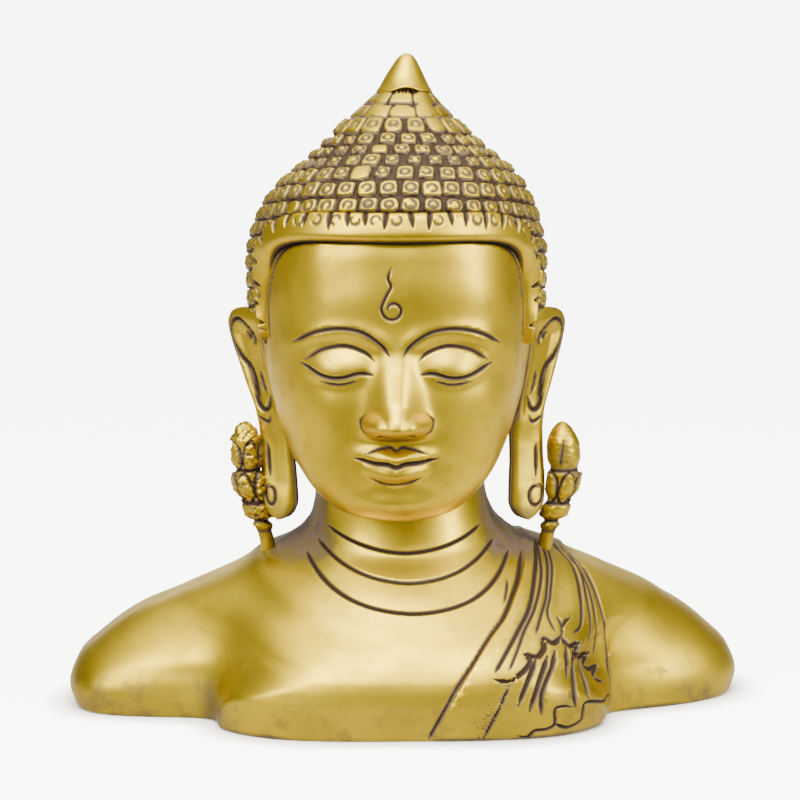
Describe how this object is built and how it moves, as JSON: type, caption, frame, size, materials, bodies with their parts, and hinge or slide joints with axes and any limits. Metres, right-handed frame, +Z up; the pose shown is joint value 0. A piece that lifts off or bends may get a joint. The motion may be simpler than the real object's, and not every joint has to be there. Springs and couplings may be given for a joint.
{
  "type": "buddha bust",
  "caption": "Cast brass bust of the Buddha with curled hair, long ears, ear ornaments and a draped robe, standing on its flat underside.",
  "frame": {"origin": "on the flat underside that it stands on, midway between the ends of the two arms", "axes": "+Z up through the crown, -Y the way the figure faces, +X towards the figure's left arm"},
  "size_m": [0.1784, 0.0908, 0.1715],
  "materials": {
    "cast_brass": "satin polished, with dark patina left in the cut lines and hollows"
  },
  "bodies": {
    "root": {"buddha_bust": "cast_brass"}
  },
  "joints": []
}
